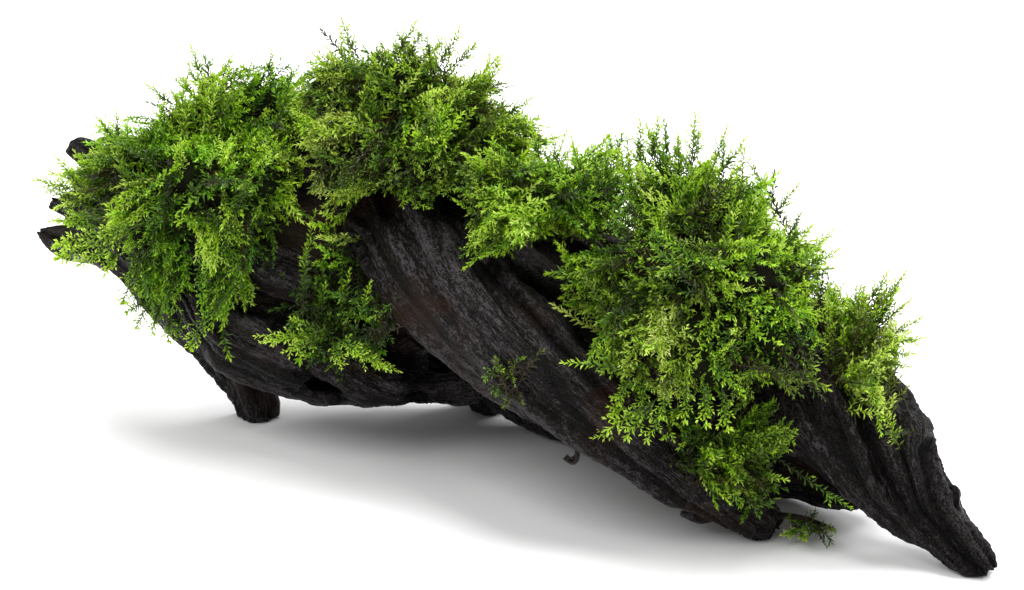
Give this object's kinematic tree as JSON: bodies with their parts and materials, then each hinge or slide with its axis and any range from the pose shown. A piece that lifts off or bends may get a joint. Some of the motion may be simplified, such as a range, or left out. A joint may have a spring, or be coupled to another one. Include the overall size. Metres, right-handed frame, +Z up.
{
  "type": "aquarium moss on driftwood",
  "caption": "Weathered driftwood log on its own worn feet, overgrown with mounds of feathery aquarium moss, with a bare front root and a bare tapering limb.",
  "frame": {"origin": "on the ground under the middle of the whole piece's box", "axes": "+X along the log towards the end of the bare tapering limb, -Y towards the side with the bare front root, +Z up"},
  "size_m": [0.1908, 0.0652, 0.0816],
  "materials": {
    "driftwood": "satin",
    "moss_lime": "matte",
    "moss_leaf": "matte",
    "moss_olive": "matte"
  },
  "bodies": {
    "root": {"trunk": "driftwood", "front_root": "driftwood", "right_limb": "driftwood", "moss_front_spray": "moss_lime", "moss_left_mound": "moss_leaf", "moss_crown": "moss_olive", "moss_saddle": "moss_leaf", "moss_right_mound": "moss_lime", "moss_lower_tuft": "moss_leaf", "moss_limb_tuft": "moss_lime", "moss_rear_left": "moss_leaf", "moss_rear_crown": "moss_olive", "moss_rear_right": "moss_leaf", "moss_root_sprig": "moss_olive", "moss_twig_fringe": "moss_lime"}
  },
  "joints": []
}
